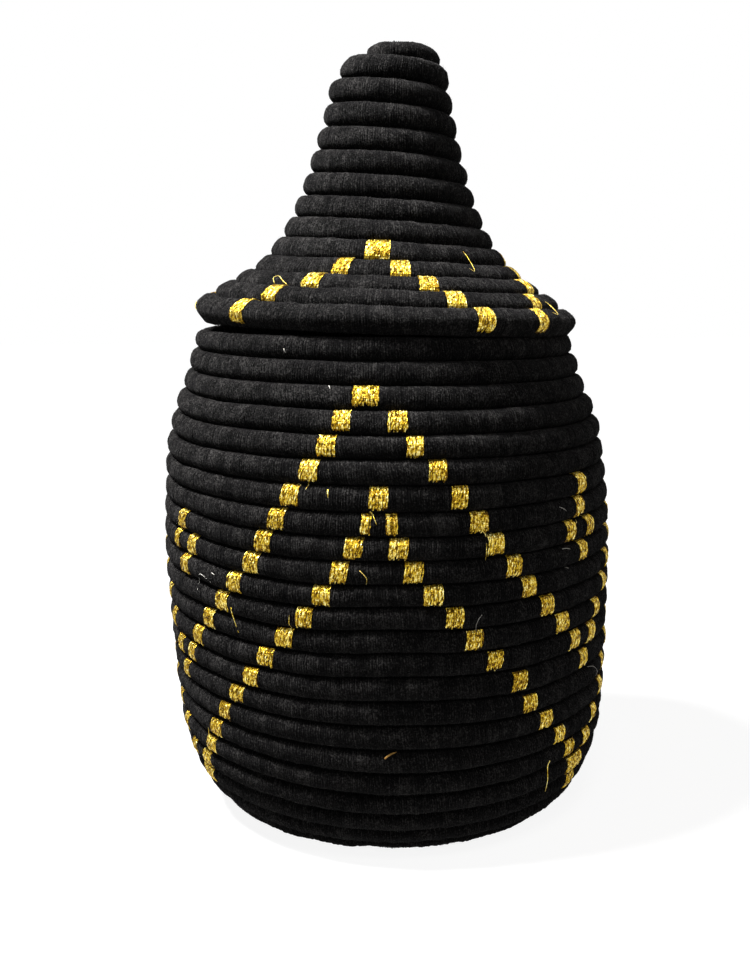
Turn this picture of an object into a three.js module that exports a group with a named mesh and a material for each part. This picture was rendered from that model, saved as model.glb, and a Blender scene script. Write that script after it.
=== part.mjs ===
// Coiled wool basket with a tall pointed lid, millimetres, +Z up, front towards -Y.
// One wrapped rope spirals out from the centre of the floor and up the wall to the rim.
// A second rope spirals down from the tip of the lid to its brim.
// Gold thread is wrapped over the ropes in chevrons and diamonds.
import * as THREE from 'three';

// Rope. Turns count along the whole rope of the wall and floor, and courses are the turns of it
// that make the wall.
const wallTurns = 29.9;
const wallCourses = 23;
const lidCourses = 14;
const tipExtraTurn = 0.1;
const ropeDepth = 14;
const courseGap = 0.44;
const contactWidth = 7;
const endGap = 0.3;
const stepsPerTurn = 20;

// Basket wall, measured on the centre of the rope. Its shape is given by points from the floor up,
// with radii as shares of the belly's and heights as shares of the rim's.
const rimHeight = 296;
const bellyRadius = 134;
const floorRadiusShare = 0.735;
const heelRadiusShare = 0.815;
const heelHeightShare = 0.0453;
const footRadiusShare = 0.8955;
const footHeightShare = 0.0966;
const lowBellyRadiusShare = 0.9537;
const lowBellyHeightShare = 0.1736;
const bellyHeightShare = 0.4324;
const highBellyRadiusShare = 0.9955;
const highBellyHeightShare = 0.6993;
const shoulderRadiusShare = 0.9478;
const shoulderHeightShare = 0.8345;
const neckRadiusShare = 0.8657;
const neckHeightShare = 0.9392;
const rimRadiusShare = 0.8239;
const wallLean = -5;

// Lid, measured on the centre of the rope. Its points run from the brim up, with radii as shares
// of the brim's and heights as shares of the tip's.
const tipHeight = 167;
const brimOverhang = 0.5;
const brimHeightShare = 0.0516;
const flareLowRadiusShare = 0.8972;
const flareLowHeightShare = 0.1021;
const flareMidRadiusShare = 0.6754;
const flareMidHeightShare = 0.2018;
const flareTopRadiusShare = 0.523;
const flareTopHeightShare = 0.3264;
const coneLowRadiusShare = 0.4031;
const coneLowHeightShare = 0.5045;
const coneMidRadiusShare = 0.3273;
const coneMidHeightShare = 0.6766;
const coneTopRadiusShare = 0.2705;
const coneTopHeightShare = 0.8427;
const headRadiusShare = 0.2417;
const headHeightShare = 0.911;
const tipShoulderRadiusShare = 0.1803;
const tipShoulderHeightShare = 0.9703;
const tipRoundRadiusShare = 0.1082;
const tipRoundHeightShare = 0.9941;
const coneLean = 4;
const lidTilt = 1.8;
const seatClearance = 0.3;

// Ends of the two ropes
const eyeRadius = 0.4;
const taperAngle = 36;
const taperScale = 0.35;
const knotStart = 60;
const knotEnd = 1.5;
const tipKnotThickness = 11;

// Locating collar under the lid
const collarTurns = 2;
const collarRopePitch = 12;
const collarRopeDepth = 11;
const collarClearance = 1.8;

// Gold thread. Free courses count from the lowest course of the wall, and leg courses from the brim.
// Angles are in degrees from the front, to the left on the wall and to the right on the lid, and
// each leg of a chevron steps round by its own angle from course to course.
const goldWidth = 10;
const goldApexWidth = 14.5;
const goldThickness = 0.9;
const goldClearance = 0.4;
const goldReach = 0.6;
const setAngles = [-112, 2, 122];
const diamondAngles = [-53.5, 59, 185];
const outerApexCourse = 3;
const outerApexAngle = 2;
const outerStepAngle = 4.58;
const outerLeftFreeCourses = [9, 7, 7];
const outerRightFreeCourses = 8;
const innerApexCourse = 7;
const innerStepAngle = 4.08;
const innerLeftFreeCourses = [3, 2, 2];
const innerRightFreeCourses = 2;
const diamondPairCourses = [9, 10, 9];
const diamondUpperRows = [2, 1, 2];
const diamondHalfWidth = 10.2;
const lidSetAngles = [-130, -4, 90];
const lidLegCourses = 4;
const lidLeftStepAngle = 10.31;
const lidRightStepAngle = 8.38;

const degree = Math.PI / 180;
const halfTurn = 180;

// The centre line of a rope as seen in a half section, by arc length from its start. It is level
// from there to its first point, then a smooth curve, and beyond its end it runs on straight.
class Outline {
  constructor(points) {
    const corners = points.map(([radius, height]) => new THREE.Vector3(radius, height, 0));
    this.curve = new THREE.CatmullRomCurve3(corners, false, 'centripetal');
    this.curve.arcLengthDivisions = 800;
    this.level = corners[0].x;
    this.curved = this.curve.getLength();
    this.length = this.level + this.curved;
  }

  at(arc) {
    if (arc < this.level) {
      return { place: new THREE.Vector2(arc, this.curve.points[0].y), along: new THREE.Vector2(1, 0) };
    }
    const share = Math.min((arc - this.level) / this.curved, 1);
    const along = this.curve.getTangentAt(share);
    const place = this.curve.getPointAt(share);
    place.addScaledVector(along, arc - this.level - share * this.curved);
    return { place: new THREE.Vector2(place.x, place.y), along: new THREE.Vector2(along.x, along.y) };
  }
}

const floorRadius = bellyRadius * floorRadiusShare;
const rimRadius = bellyRadius * rimRadiusShare;
const wallOutline = new Outline([
  [floorRadius, ropeDepth / 2],
  [bellyRadius * heelRadiusShare, rimHeight * heelHeightShare],
  [bellyRadius * footRadiusShare, rimHeight * footHeightShare],
  [bellyRadius * lowBellyRadiusShare, rimHeight * lowBellyHeightShare],
  [bellyRadius, rimHeight * bellyHeightShare],
  [bellyRadius * highBellyRadiusShare, rimHeight * highBellyHeightShare],
  [bellyRadius * shoulderRadiusShare, rimHeight * shoulderHeightShare],
  [bellyRadius * neckRadiusShare, rimHeight * neckHeightShare],
  [rimRadius, rimHeight],
]);

const brimRadius = rimRadius + brimOverhang;
const lidOutline = new Outline([
  [0, tipHeight],
  [brimRadius * tipRoundRadiusShare, tipHeight * tipRoundHeightShare],
  [brimRadius * tipShoulderRadiusShare, tipHeight * tipShoulderHeightShare],
  [brimRadius * headRadiusShare, tipHeight * headHeightShare],
  [brimRadius * coneTopRadiusShare, tipHeight * coneTopHeightShare],
  [brimRadius * coneMidRadiusShare, tipHeight * coneMidHeightShare],
  [brimRadius * coneLowRadiusShare, tipHeight * coneLowHeightShare],
  [brimRadius * flareTopRadiusShare, tipHeight * flareTopHeightShare],
  [brimRadius * flareMidRadiusShare, tipHeight * flareMidHeightShare],
  [brimRadius * flareLowRadiusShare, tipHeight * flareLowHeightShare],
  [brimRadius, tipHeight * brimHeightShare],
]);

// A coil is a rope wound along an outline. Angles run from -180 to 180 degrees in each course,
// with 0 at the front. turn is -1 where they grow towards the left, and +1 towards the right.
// outward is +1 where the side that shows lies to the right of the outline's direction.
class Coil {
  constructor({ outline, pitch, frontArc, turn, outward, depth, lean, leanHeight, taperCourse }) {
    Object.assign(this, { outline, pitch, frontArc, turn, outward, depth, lean, leanHeight, taperCourse });
  }

  arc(course, angle) {
    return this.frontArc(course) + (this.pitch * angle) / (2 * halfTurn);
  }

  // A point given by its arc and its distance out from the rope's centre line.
  point(arc, out, angle, slip = 0) {
    const { place, along } = this.outline.at(arc);
    const radius = place.x + this.outward * along.y * out + along.x * slip;
    const height = place.y - this.outward * along.x * out + along.y * slip;
    const shift = (this.lean * height) / this.leanHeight;
    const side = this.turn * Math.sin(angle * degree);
    return new THREE.Vector3(shift + radius * side, -radius * Math.cos(angle * degree), height);
  }

  // Six corners of the rope at one of the turn's steps. The two contact faces lie half a gap
  // short of the planes midway to the neighbouring courses, so they never meet.
  stepSection(course, angle, flatOutside) {
    const arc = this.arc(course, angle);
    const half = this.pitch / 2;
    const slip = courseGap / 2;
    const touch = contactWidth / 2;
    const corners = flatOutside
      ? [
        this.point(arc + half / 2, this.depth / 2, angle),
        this.point(arc + half, 0, angle, -slip),
        this.point(arc + half / 2, -this.depth / 2, angle),
        this.point(arc - half / 2, -this.depth / 2, angle),
        this.point(arc - half, 0, angle, slip),
        this.point(arc - half / 2, this.depth / 2, angle),
      ]
      : [
        this.point(arc, this.depth / 2, angle),
        this.point(arc + half, touch, angle, -slip),
        this.point(arc + half, -touch, angle, -slip),
        this.point(arc, -this.depth / 2, angle),
        this.point(arc - half, -touch, angle, slip),
        this.point(arc - half, touch, angle, slip),
      ];
    const scale = this.taper(course, angle);
    const anchor = corners[4].clone().lerp(corners[5], 0.5);
    return corners.map((corner) => anchor.clone().lerp(corner, scale));
  }

  taper(course, angle) {
    if (course !== this.taperCourse) return 1;
    const start = halfTurn - taperAngle;
    const share = THREE.MathUtils.clamp((angle - start) / taperAngle, 0, 1);
    return 1 - (1 - taperScale) * share;
  }

  // The section at any angle lies on the flat facets between two steps. An angle past the back
  // of the turn goes on along the same rope, into the neighbouring course.
  section(course, angle, flatOutside = false) {
    if (Math.abs(angle) > halfTurn) {
      const over = Math.sign(angle);
      const step = Math.sign(this.frontArc(2) - this.frontArc(1)) * over;
      return this.section(course + step, angle - 2 * halfTurn * over, flatOutside);
    }
    const step = (2 * halfTurn) / stepsPerTurn;
    const index = Math.min(Math.floor((angle + halfTurn) / step + 1e-9), stepsPerTurn - 1);
    const low = index * step - halfTurn;
    const share = (angle - low) / step;
    const start = this.stepSection(course, low, flatOutside);
    if (share < 1e-9) return start;
    const end = this.stepSection(course, low + step, flatOutside);
    return start.map((corner, i) => corner.clone().lerp(end[i], share));
  }
}

// Marks along a course, in rising order, with every step of the turn that falls between them.
const leastStep = 0.05;

function stepAngles(...marks) {
  const step = (2 * halfTurn) / stepsPerTurn;
  const first = Math.ceil((marks[0] + halfTurn) / step);
  const corners = [];
  for (let angle = first * step - halfTurn; angle < marks.at(-1); angle += step) {
    if (marks.every((mark) => Math.abs(mark - angle) > leastStep)) corners.push(angle);
  }
  return [...marks, ...corners].sort((a, b) => a - b);
}

function closedGeometry(points, triangles) {
  let volume = 0;
  for (const [a, b, c] of triangles) {
    volume += points[a].dot(points[b].clone().cross(points[c]));
  }
  const facing = volume < 0 ? triangles.map(([a, b, c]) => [a, c, b]) : triangles;
  const geometry = new THREE.BufferGeometry();
  const position = new Float32Array(points.flatMap((p) => [p.x, p.y, p.z]));
  geometry.setAttribute('position', new THREE.BufferAttribute(position, 3));
  geometry.setIndex(facing.flat());
  geometry.computeVertexNormals();
  return geometry;
}

// A closed tube through a row of sections of six corners.
function tube(sections) {
  const sides = sections[0].length;
  const points = sections.flat();
  const triangles = [];
  for (let row = 0; row + 1 < sections.length; row += 1) {
    for (let side = 0; side < sides; side += 1) {
      const next = (side + 1) % sides;
      const a = row * sides + side;
      const b = row * sides + next;
      triangles.push([a, b, b + sides], [a, b + sides, a + sides]);
    }
  }
  const last = (sections.length - 1) * sides;
  for (let side = 1; side + 1 < sides; side += 1) {
    triangles.push([0, side + 1, side], [last, last + side, last + side + 1]);
  }
  return closedGeometry(points, triangles);
}

function endAngle(coil, course) {
  const radius = coil.outline.at(coil.arc(course, halfTurn)).place.x;
  return halfTurn - endGap / 2 / radius / degree;
}

// Sections of one or more whole courses as one unbroken rope.
function ropeSections(coil, firstCourse, lastCourse, startAngle, flatOutside) {
  const sections = [];
  const order = Math.sign(coil.frontArc(2) - coil.frontArc(1));
  const count = Math.abs(lastCourse - firstCourse) + 1;
  for (let i = 0; i < count; i += 1) {
    const course = firstCourse + order * i;
    const from = i === 0 ? startAngle : -halfTurn;
    const to = i === count - 1 ? endAngle(coil, course) : halfTurn;
    const angles = stepAngles(from, to);
    if (i > 0) angles.shift();
    for (const angle of angles) sections.push(coil.section(course, angle, flatOutside));
  }
  return sections;
}

function rope(coil, course) {
  return tube(ropeSections(coil, course, course, -endAngle(coil, course), false));
}

// The two main coils
const wallPitch = wallOutline.length / wallTurns;

const wallCoil = new Coil({
  outline: wallOutline,
  pitch: wallPitch,
  frontArc: (course) => wallOutline.length - (course - 1) * wallPitch,
  turn: -1,
  outward: 1,
  depth: ropeDepth,
  lean: wallLean,
  leanHeight: rimHeight,
  taperCourse: 1,
});

const lidPitch = lidOutline.length / (lidCourses + tipExtraTurn);

const lidCoil = new Coil({
  outline: lidOutline,
  pitch: lidPitch,
  frontArc: (course) => lidOutline.length - (lidCourses - course) * lidPitch,
  turn: 1,
  outward: -1,
  depth: ropeDepth,
  lean: coneLean,
  leanHeight: tipHeight,
  taperCourse: lidCourses,
});

// The course and angle at which a coil's rope starts, close round the axis.
function coilBeginning(coil, course) {
  const first = coil.pitch / 2 + eyeRadius;
  const inward = Math.sign(coil.frontArc(1) - coil.frontArc(2));
  let start = course;
  while (coil.arc(start, -halfTurn) > first) start += inward;
  const angle = ((first - coil.frontArc(start)) / coil.pitch) * 2 * halfTurn;
  return { course: start, angle };
}

// The folded start of the core, which fills the eye inside a coil's first turn.
function knot(coil, start, flatOutside, thickness) {
  const centre = coil.point(0, 0, start.angle);
  const angles = stepAngles(start.angle + knotStart, start.angle + 2 * halfTurn - knotEnd);
  const reach = (p) => Math.hypot(p.x - centre.x, p.y - centre.y);
  const edge = angles.map((angle) => {
    const section = coil.section(start.course, angle, flatOutside);
    const inner = section.reduce((best, p) => (reach(p) < reach(best) ? p : best));
    return inner.clone().setZ(centre.z).lerp(centre, courseGap / reach(inner));
  });
  const outline = [centre, ...edge];
  const rise = new THREE.Vector3(0, 0, thickness / 2);
  const points = [...outline.map((p) => p.clone().sub(rise)), ...outline.map((p) => p.clone().add(rise))];
  const count = outline.length;
  const triangles = [];
  for (let i = 0; i < count; i += 1) {
    const next = (i + 1) % count;
    triangles.push([i, next, next + count], [i, next + count, i + count]);
    if (i > 0 && next > 0) triangles.push([0, next, i], [count, i + count, next + count]);
  }
  return closedGeometry(points, triangles);
}

// Collar: two turns that hang inside the mouth, parallel to the brim.
const mouthRadius = rimRadius - ropeDepth / 2;
const collarRadius = mouthRadius - collarClearance - collarRopeDepth / 2;

function collarCoil(topHeight) {
  const line = new Outline([
    [collarRadius, topHeight],
    [collarRadius, topHeight - collarRopePitch * collarTurns],
  ]);
  return new Coil({
    outline: line,
    pitch: collarRopePitch,
    frontArc: (course) => line.level + (course - 0.5) * collarRopePitch,
    turn: 1,
    outward: -1,
    depth: collarRopeDepth,
    lean: 0,
    leanHeight: 1,
    taperCourse: collarTurns,
  });
}

// Least height between the upper solid's sections and the lower solid's at one angle,
// both taken as outlines of radius against height.
function heightBetween(upper, lower) {
  const flat = (section) => section.map((p) => new THREE.Vector2(Math.hypot(p.x, p.y), p.z));
  const bound = (section, radius, side) => {
    let best = -side * Infinity;
    section.forEach((a, i) => {
      const b = section[(i + 1) % section.length];
      if ((a.x - radius) * (b.x - radius) > 0 || a.x === b.x) return;
      const height = a.y + ((b.y - a.y) * (radius - a.x)) / (b.x - a.x);
      best = side > 0 ? Math.max(best, height) : Math.min(best, height);
    });
    return best;
  };
  const above = flat(upper);
  const below = flat(lower);
  let least = Infinity;
  for (const radius of [...above, ...below].map((p) => p.x)) {
    least = Math.min(least, bound(above, radius, -1) - bound(below, radius, 1));
  }
  return least;
}

function leastHeight(upperSections, lowerSections) {
  let least = Infinity;
  for (const upper of upperSections) {
    for (const lower of lowerSections) least = Math.min(least, heightBetween(upper, lower));
  }
  return least;
}

const seatAngles = stepAngles(-halfTurn, halfTurn);

// The collar hangs one clearance below the courses over it.
function collarDrop() {
  const trial = collarCoil(0);
  let least = Infinity;
  for (const angle of seatAngles) {
    const over = [lidCourses, lidCourses - 1, lidCourses - 2].map((c) => lidCoil.section(c, angle));
    least = Math.min(least, leastHeight(over, [trial.section(1, angle)]));
  }
  return least - seatClearance;
}

const collar = collarCoil(collarDrop());

// The lid is tilted about the basket's rim and let down until the brim is one clearance above it.
const lid = new THREE.Group();
lid.rotation.y = lidTilt * degree;
lid.position.set(wallLean, 0, 0);

function lidSeat() {
  lid.updateMatrix();
  let least = Infinity;
  for (const angle of seatAngles) {
    const rim = wallCoil.section(1, -angle).map((p) => p.setX(p.x - wallLean));
    const brim = [lidCourses, lidCourses - 1]
      .map((course) => lidCoil.section(course, angle))
      .map((section) => section.map((p) => p.applyMatrix4(lid.matrix)))
      .map((section) => section.map((p) => p.setX(p.x - wallLean)));
    least = Math.min(least, leastHeight(brim, [rim]));
  }
  return seatClearance - least;
}

lid.position.z = lidSeat();

// Gold thread: a band of squares on courses, each joined to the next by a float over the groove.
class Band {
  constructor(coil, towardsApex) {
    this.coil = coil;
    this.towardsApex = towardsApex;
    this.inner = [];
    this.outer = [];
    this.faces = [];
  }

  // One point of the rope's outside, row -1 at the apex side, 0 on the ridge, 1 at the far side.
  addPoint(course, angle, row) {
    const [ridge, after, , , , before] = this.coil.section(course, angle);
    const side = row * this.towardsApex < 0 ? after : before;
    const place = ridge.clone().lerp(side, Math.abs(row) * goldReach);
    const { along } = this.coil.outline.at(this.coil.arc(course, angle));
    const radial = new THREE.Vector3(
      this.coil.turn * Math.sin(angle * degree), -Math.cos(angle * degree), 0,
    );
    const out = radial.multiplyScalar(this.coil.outward * along.y);
    out.z = -this.coil.outward * along.x;
    this.inner.push(place.clone().addScaledVector(out, goldClearance));
    this.outer.push(place.clone().addScaledVector(out, goldClearance + goldThickness));
    return this.inner.length - 1;
  }

  // A square of thread. It returns its two free edges, each as a row of points.
  square(course, angle, width, split = false) {
    const radius = this.coil.outline.at(this.coil.arc(course, angle)).place.x + ropeDepth / 2;
    const half = width / 2 / radius / degree;
    const columns = split
      ? stepAngles(angle - half, angle, angle + half)
      : stepAngles(angle - half, angle + half);
    const rows = [-1, 0, 1].map((row) => columns.map((a) => this.addPoint(course, a, row)));
    for (let row = 0; row < 2; row += 1) {
      for (let i = 0; i + 1 < columns.length; i += 1) {
        this.face([rows[row][i], rows[row][i + 1], rows[row + 1][i + 1], rows[row + 1][i]]);
      }
    }
    const middle = columns.indexOf(angle);
    return {
      near: rows[0],
      far: rows[2],
      farHalves: [rows[2].slice(0, middle + 1), rows[2].slice(middle)],
      nearHalves: [rows[0].slice(0, middle + 1), rows[0].slice(middle)],
    };
  }

  face(corners) {
    for (let i = 1; i + 1 < corners.length; i += 1) this.faces.push([corners[0], corners[i], corners[i + 1]]);
  }

  // A float between two edges, cut along its short diagonals.
  float(upper, lower) {
    let i = 0;
    let j = 0;
    while (i + 1 < upper.length || j + 1 < lower.length) {
      const canUpper = i + 1 < upper.length;
      const canLower = j + 1 < lower.length;
      const upperSpan = canUpper ? this.outer[upper[i + 1]].distanceTo(this.outer[lower[j]]) : Infinity;
      const lowerSpan = canLower ? this.outer[upper[i]].distanceTo(this.outer[lower[j + 1]]) : Infinity;
      if (upperSpan <= lowerSpan) {
        this.face([upper[i], upper[i + 1], lower[j]]);
        i += 1;
      } else {
        this.face([upper[i], lower[j + 1], lower[j]]);
        j += 1;
      }
    }
  }

  geometry() {
    const shift = this.inner.length;
    const triangles = this.faces.map(([a, b, c]) => [a + shift, b + shift, c + shift]);
    const edges = new Set(this.faces.flatMap(([a, b, c]) => [`${a},${b}`, `${b},${c}`, `${c},${a}`]));
    for (const [a, b, c] of this.faces) {
      triangles.push([a, c, b]);
      for (const [from, to] of [[a, b], [b, c], [c, a]]) {
        if (edges.has(`${to},${from}`)) continue;
        triangles.push([from, to, to + shift], [from, to + shift, from + shift]);
      }
    }
    return closedGeometry([...this.inner, ...this.outer], triangles);
  }
}

function chevron({ coil, towardsApex, apexCourse, apexAngle, legs }) {
  const band = new Band(coil, towardsApex);
  const apex = band.square(apexCourse, apexAngle, goldApexWidth, true);
  legs.forEach(({ lastCourse, angleAt }, side) => {
    let edge = apex.farHalves[side];
    for (let course = apexCourse + 1; course <= lastCourse; course += 1) {
      const square = band.square(course, angleAt(course), goldWidth);
      band.float(edge, square.near);
      edge = square.far;
    }
  });
  return band.geometry();
}

// Single squares from the top down, then a pair side by side and one square below it.
function diamond({ coil, towardsApex, middle, pairCourse, upperRows }) {
  const band = new Band(coil, towardsApex);
  const spread = diamondHalfWidth / bellyRadius / degree;
  const upper = [];
  for (let row = upperRows; row > 0; row -= 1) {
    upper.push(band.square(pairCourse - row, middle, goldWidth, row === 1));
    if (upper.length > 1) band.float(upper.at(-2).far, upper.at(-1).near);
  }
  const low = band.square(pairCourse + 1, middle, goldWidth, true);
  [-1, 1].forEach((side, index) => {
    const pair = band.square(pairCourse, middle + side * spread, goldWidth);
    band.float(upper.at(-1).farHalves[index], pair.near);
    band.float(pair.far, low.nearHalves[index]);
  });
  return band.geometry();
}

// Colours and finishes
const wool = { color: 0x0c0c0d, roughness: 0.95, metalness: 0 };
const gold = { color: 0xc9a227, roughness: 0.35, metalness: 0.9 };

function addMesh(group, name, geometry, finish) {
  const mesh = new THREE.Mesh(geometry, new THREE.MeshStandardMaterial(finish));
  mesh.name = name;
  group.add(mesh);
}

const twoDigits = (number) => String(number).padStart(2, '0');

const basket = new THREE.Group();
const floor = coilBeginning(wallCoil, wallCourses + 1);
const floorSections = ropeSections(wallCoil, floor.course, wallCourses + 1, floor.angle, true);
addMesh(basket, 'base_knot', knot(wallCoil, floor, true, ropeDepth), wool);
addMesh(basket, 'base_coil', tube(floorSections), wool);
for (let course = 1; course <= wallCourses; course += 1) {
  addMesh(basket, `wall_course_${twoDigits(course)}`, rope(wallCoil, course), wool);
}

const tip = coilBeginning(lidCoil, 1);
const tipSections = ropeSections(lidCoil, tip.course, 1, tip.angle, false);
addMesh(lid, 'lid_tip_knot', knot(lidCoil, tip, false, tipKnotThickness), wool);
addMesh(lid, 'lid_tip_coil', tube(tipSections), wool);
for (let course = 2; course <= lidCourses; course += 1) {
  addMesh(lid, `lid_course_${twoDigits(course)}`, rope(lidCoil, course), wool);
}
const collarSections = ropeSections(collar, 1, collarTurns, -endAngle(collar, 1), false);
addMesh(lid, 'lid_locating_collar', tube(collarSections), wool);

// Angles of the wall's motifs grow towards the left, so right legs have negative angles.
for (const [set, middle] of setAngles.entries()) {
  const leg = (side, apexCourse, stepAngle, freeCourses) => ({
    lastCourse: wallCourses - freeCourses,
    angleAt: (course) => middle + side * stepAngle * (course - apexCourse),
  });
  const outer = chevron({
    coil: wallCoil,
    towardsApex: 1,
    apexCourse: outerApexCourse,
    apexAngle: middle + outerApexAngle,
    legs: [
      leg(-1, outerApexCourse, outerStepAngle, outerRightFreeCourses),
      leg(1, outerApexCourse, outerStepAngle, outerLeftFreeCourses[set]),
    ],
  });
  addMesh(basket, `gold_outer_chevron_${set + 1}`, outer, gold);
  const inner = chevron({
    coil: wallCoil,
    towardsApex: 1,
    apexCourse: innerApexCourse,
    apexAngle: middle,
    legs: [
      leg(-1, innerApexCourse, innerStepAngle, innerRightFreeCourses),
      leg(1, innerApexCourse, innerStepAngle, innerLeftFreeCourses[set]),
    ],
  });
  addMesh(basket, `gold_inner_chevron_${set + 1}`, inner, gold);
  const squares = diamond({
    coil: wallCoil,
    towardsApex: 1,
    middle: diamondAngles[set],
    pairCourse: diamondPairCourses[set],
    upperRows: diamondUpperRows[set],
  });
  addMesh(basket, `gold_diamond_${set + 1}`, squares, gold);
}

const lidApexCourse = lidCourses - lidLegCourses;
for (const [set, middle] of lidSetAngles.entries()) {
  const legAngles = [-lidLeftStepAngle, lidRightStepAngle];
  const lidChevron = chevron({
    coil: lidCoil,
    towardsApex: -1,
    apexCourse: lidApexCourse,
    apexAngle: middle,
    legs: legAngles.map((legAngle) => ({
      lastCourse: lidCourses,
      angleAt: (course) => middle + legAngle * (course - lidApexCourse),
    })),
  });
  addMesh(lid, `gold_lid_chevron_${set + 1}`, lidChevron, gold);
}

// The least gap of a coil to itself, measured between the facing sides of its turns.
function leastSelfGap(sections) {
  let least = Infinity;
  const rows = sections.length;
  for (let i = 0; i < rows; i += 1) {
    for (let j = i + Math.floor(stepsPerTurn / 2); j < rows; j += 1) {
      for (const a of sections[i]) {
        for (const b of sections[j]) least = Math.min(least, a.distanceTo(b));
      }
    }
  }
  return least;
}

for (const [name, sections] of [['base_coil', floorSections], ['lid_tip_coil', tipSections],
  ['lid_locating_collar', collarSections]]) {
  console.log(`${name}: least gap to itself ${leastSelfGap(sections).toFixed(2)} mm`);
}

const part = new THREE.Group();
part.add(basket, lid);

export default part;
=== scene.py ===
"""Coiled wool basket with a pointed lid: yarn-wrapped ropes, gold thread and loose ends."""
import math
import bpy
import numpy as np
from mathutils import Matrix, Vector


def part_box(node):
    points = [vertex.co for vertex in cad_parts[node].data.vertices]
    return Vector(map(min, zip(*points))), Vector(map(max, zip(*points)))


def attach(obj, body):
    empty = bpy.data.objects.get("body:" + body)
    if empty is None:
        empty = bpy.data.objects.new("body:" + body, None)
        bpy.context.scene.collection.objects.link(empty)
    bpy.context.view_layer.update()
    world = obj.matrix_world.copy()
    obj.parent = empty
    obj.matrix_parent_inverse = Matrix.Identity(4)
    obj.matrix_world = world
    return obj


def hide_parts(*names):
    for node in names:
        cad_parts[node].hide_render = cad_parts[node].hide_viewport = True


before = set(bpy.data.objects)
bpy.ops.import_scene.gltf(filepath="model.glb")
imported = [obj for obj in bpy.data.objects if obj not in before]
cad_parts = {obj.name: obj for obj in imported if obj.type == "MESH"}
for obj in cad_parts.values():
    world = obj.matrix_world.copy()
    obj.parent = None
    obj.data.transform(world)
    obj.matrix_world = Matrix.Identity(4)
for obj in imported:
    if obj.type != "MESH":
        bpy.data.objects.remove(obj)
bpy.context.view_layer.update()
MM = 0.001


# Camera, as the photograph was taken
CAMERA_PLACE = (-0.0102, -0.7773, 0.334)
CAMERA_PITCH, CAMERA_ROLL = 0.166, 0.011
SENSOR = 36.0
FOCAL_LENGTH = 1212 / 967 * SENSOR


def make_camera():
    """The camera, in metres, pitched down and rolled about its line of sight."""
    data = bpy.data.cameras.new("camera")
    camera = bpy.data.objects.new("camera", data)
    bpy.context.scene.collection.objects.link(camera)
    level = Vector((1, 0, 0))
    ahead = Vector((0, math.cos(CAMERA_PITCH), -math.sin(CAMERA_PITCH)))
    above = Vector((0, math.sin(CAMERA_PITCH), math.cos(CAMERA_PITCH)))
    right = level * math.cos(CAMERA_ROLL) - above * math.sin(CAMERA_ROLL)
    up = level * math.sin(CAMERA_ROLL) + above * math.cos(CAMERA_ROLL)
    turn = Matrix((right, up, -ahead)).transposed().to_4x4()
    camera.matrix_world = Matrix.Translation(CAMERA_PLACE) @ turn
    data.sensor_width = SENSOR
    data.lens = FOCAL_LENGTH
    data.clip_start, data.clip_end = 0.01, 50.0
    bpy.context.scene.camera = camera


make_camera()

# The two coils, repeated from the part's source in millimetres
ROPE_DEPTH = 14.0
RIM_HEIGHT, BELLY_RADIUS, WALL_LEAN = 296.0, 134.0, -5.0
TIP_HEIGHT, CONE_LEAN, LID_TILT = 167.0, 4.0, math.radians(1.8)
LID_SEAT = 303.73
WALL_TURNS, WALL_COURSES = 29.9, 23
LID_TURNS, LID_COURSES = 14.1, 14
WALL_SHAPE = [
    (0.735, ROPE_DEPTH / 2 / RIM_HEIGHT), (0.815, 0.0453), (0.8955, 0.0966), (0.9537, 0.1736),
    (1.0, 0.4324), (0.9955, 0.6993), (0.9478, 0.8345), (0.8657, 0.9392), (0.8239, 1.0)]
LID_SHAPE = [
    (0.0, 1.0), (0.1082, 0.9941), (0.1803, 0.9703), (0.2417, 0.911), (0.2705, 0.8427),
    (0.3273, 0.6766), (0.4031, 0.5045), (0.523, 0.3264), (0.6754, 0.2018), (0.8972, 0.1021),
    (1.0, 0.0516)]
RIM_RADIUS = BELLY_RADIUS * WALL_SHAPE[-1][0]
BRIM_RADIUS = RIM_RADIUS + 0.5
COLLAR_RADIUS, COLLAR_TOP, COLLAR_PITCH, COLLAR_DEPTH = 96.1, 6.876, 12.0, 11.0


def smooth_line(points, count=400):
    """A centripetal curve through points: its rows of coordinates, and the arc length of each."""
    p = np.array(points, float)
    p = np.vstack([2 * p[0] - p[1], p, 2 * p[-1] - p[-2]])
    rows = []
    for i in range(1, len(p) - 2):
        a, b, c, d = p[i - 1:i + 3]
        ab, bc, cd = (max(np.linalg.norm(leg) ** 0.5, 1e-9) for leg in (b - a, c - b, d - c))
        start = ((b - a) / ab - (c - a) / (ab + bc) + (c - b) / bc) * bc
        end = ((c - b) / bc - (d - b) / (bc + cd) + (d - c) / cd) * bc
        t = np.linspace(0, 1, count, endpoint=False)[:, None]
        rows.append(b + start * t + (3 * (c - b) - 2 * start - end) * t ** 2
                    + (2 * (b - c) + start + end) * t ** 3)
    rows = np.vstack(rows + [p[-2:-1]])
    steps = np.linalg.norm(np.diff(rows, axis=0), axis=1)
    return rows, np.concatenate([[0], np.cumsum(steps)])


def ease(x):
    """A smooth step from 0 to 1."""
    x = np.clip(x, 0, 1)
    return x * x * (3 - 2 * x)


RIPPLE_VALUES = 4096


def ripple(x, wavelength, seed):
    """Smooth noise between -1 and 1 along a line."""
    x = np.asarray(x, float) / wavelength
    values = np.random.default_rng(seed).uniform(-1, 1, RIPPLE_VALUES)
    low = np.floor(x).astype(int)
    share = ease(x - low)
    return (values[low % RIPPLE_VALUES] * (1 - share)
            + values[(low + 1) % RIPPLE_VALUES] * share)


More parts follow.
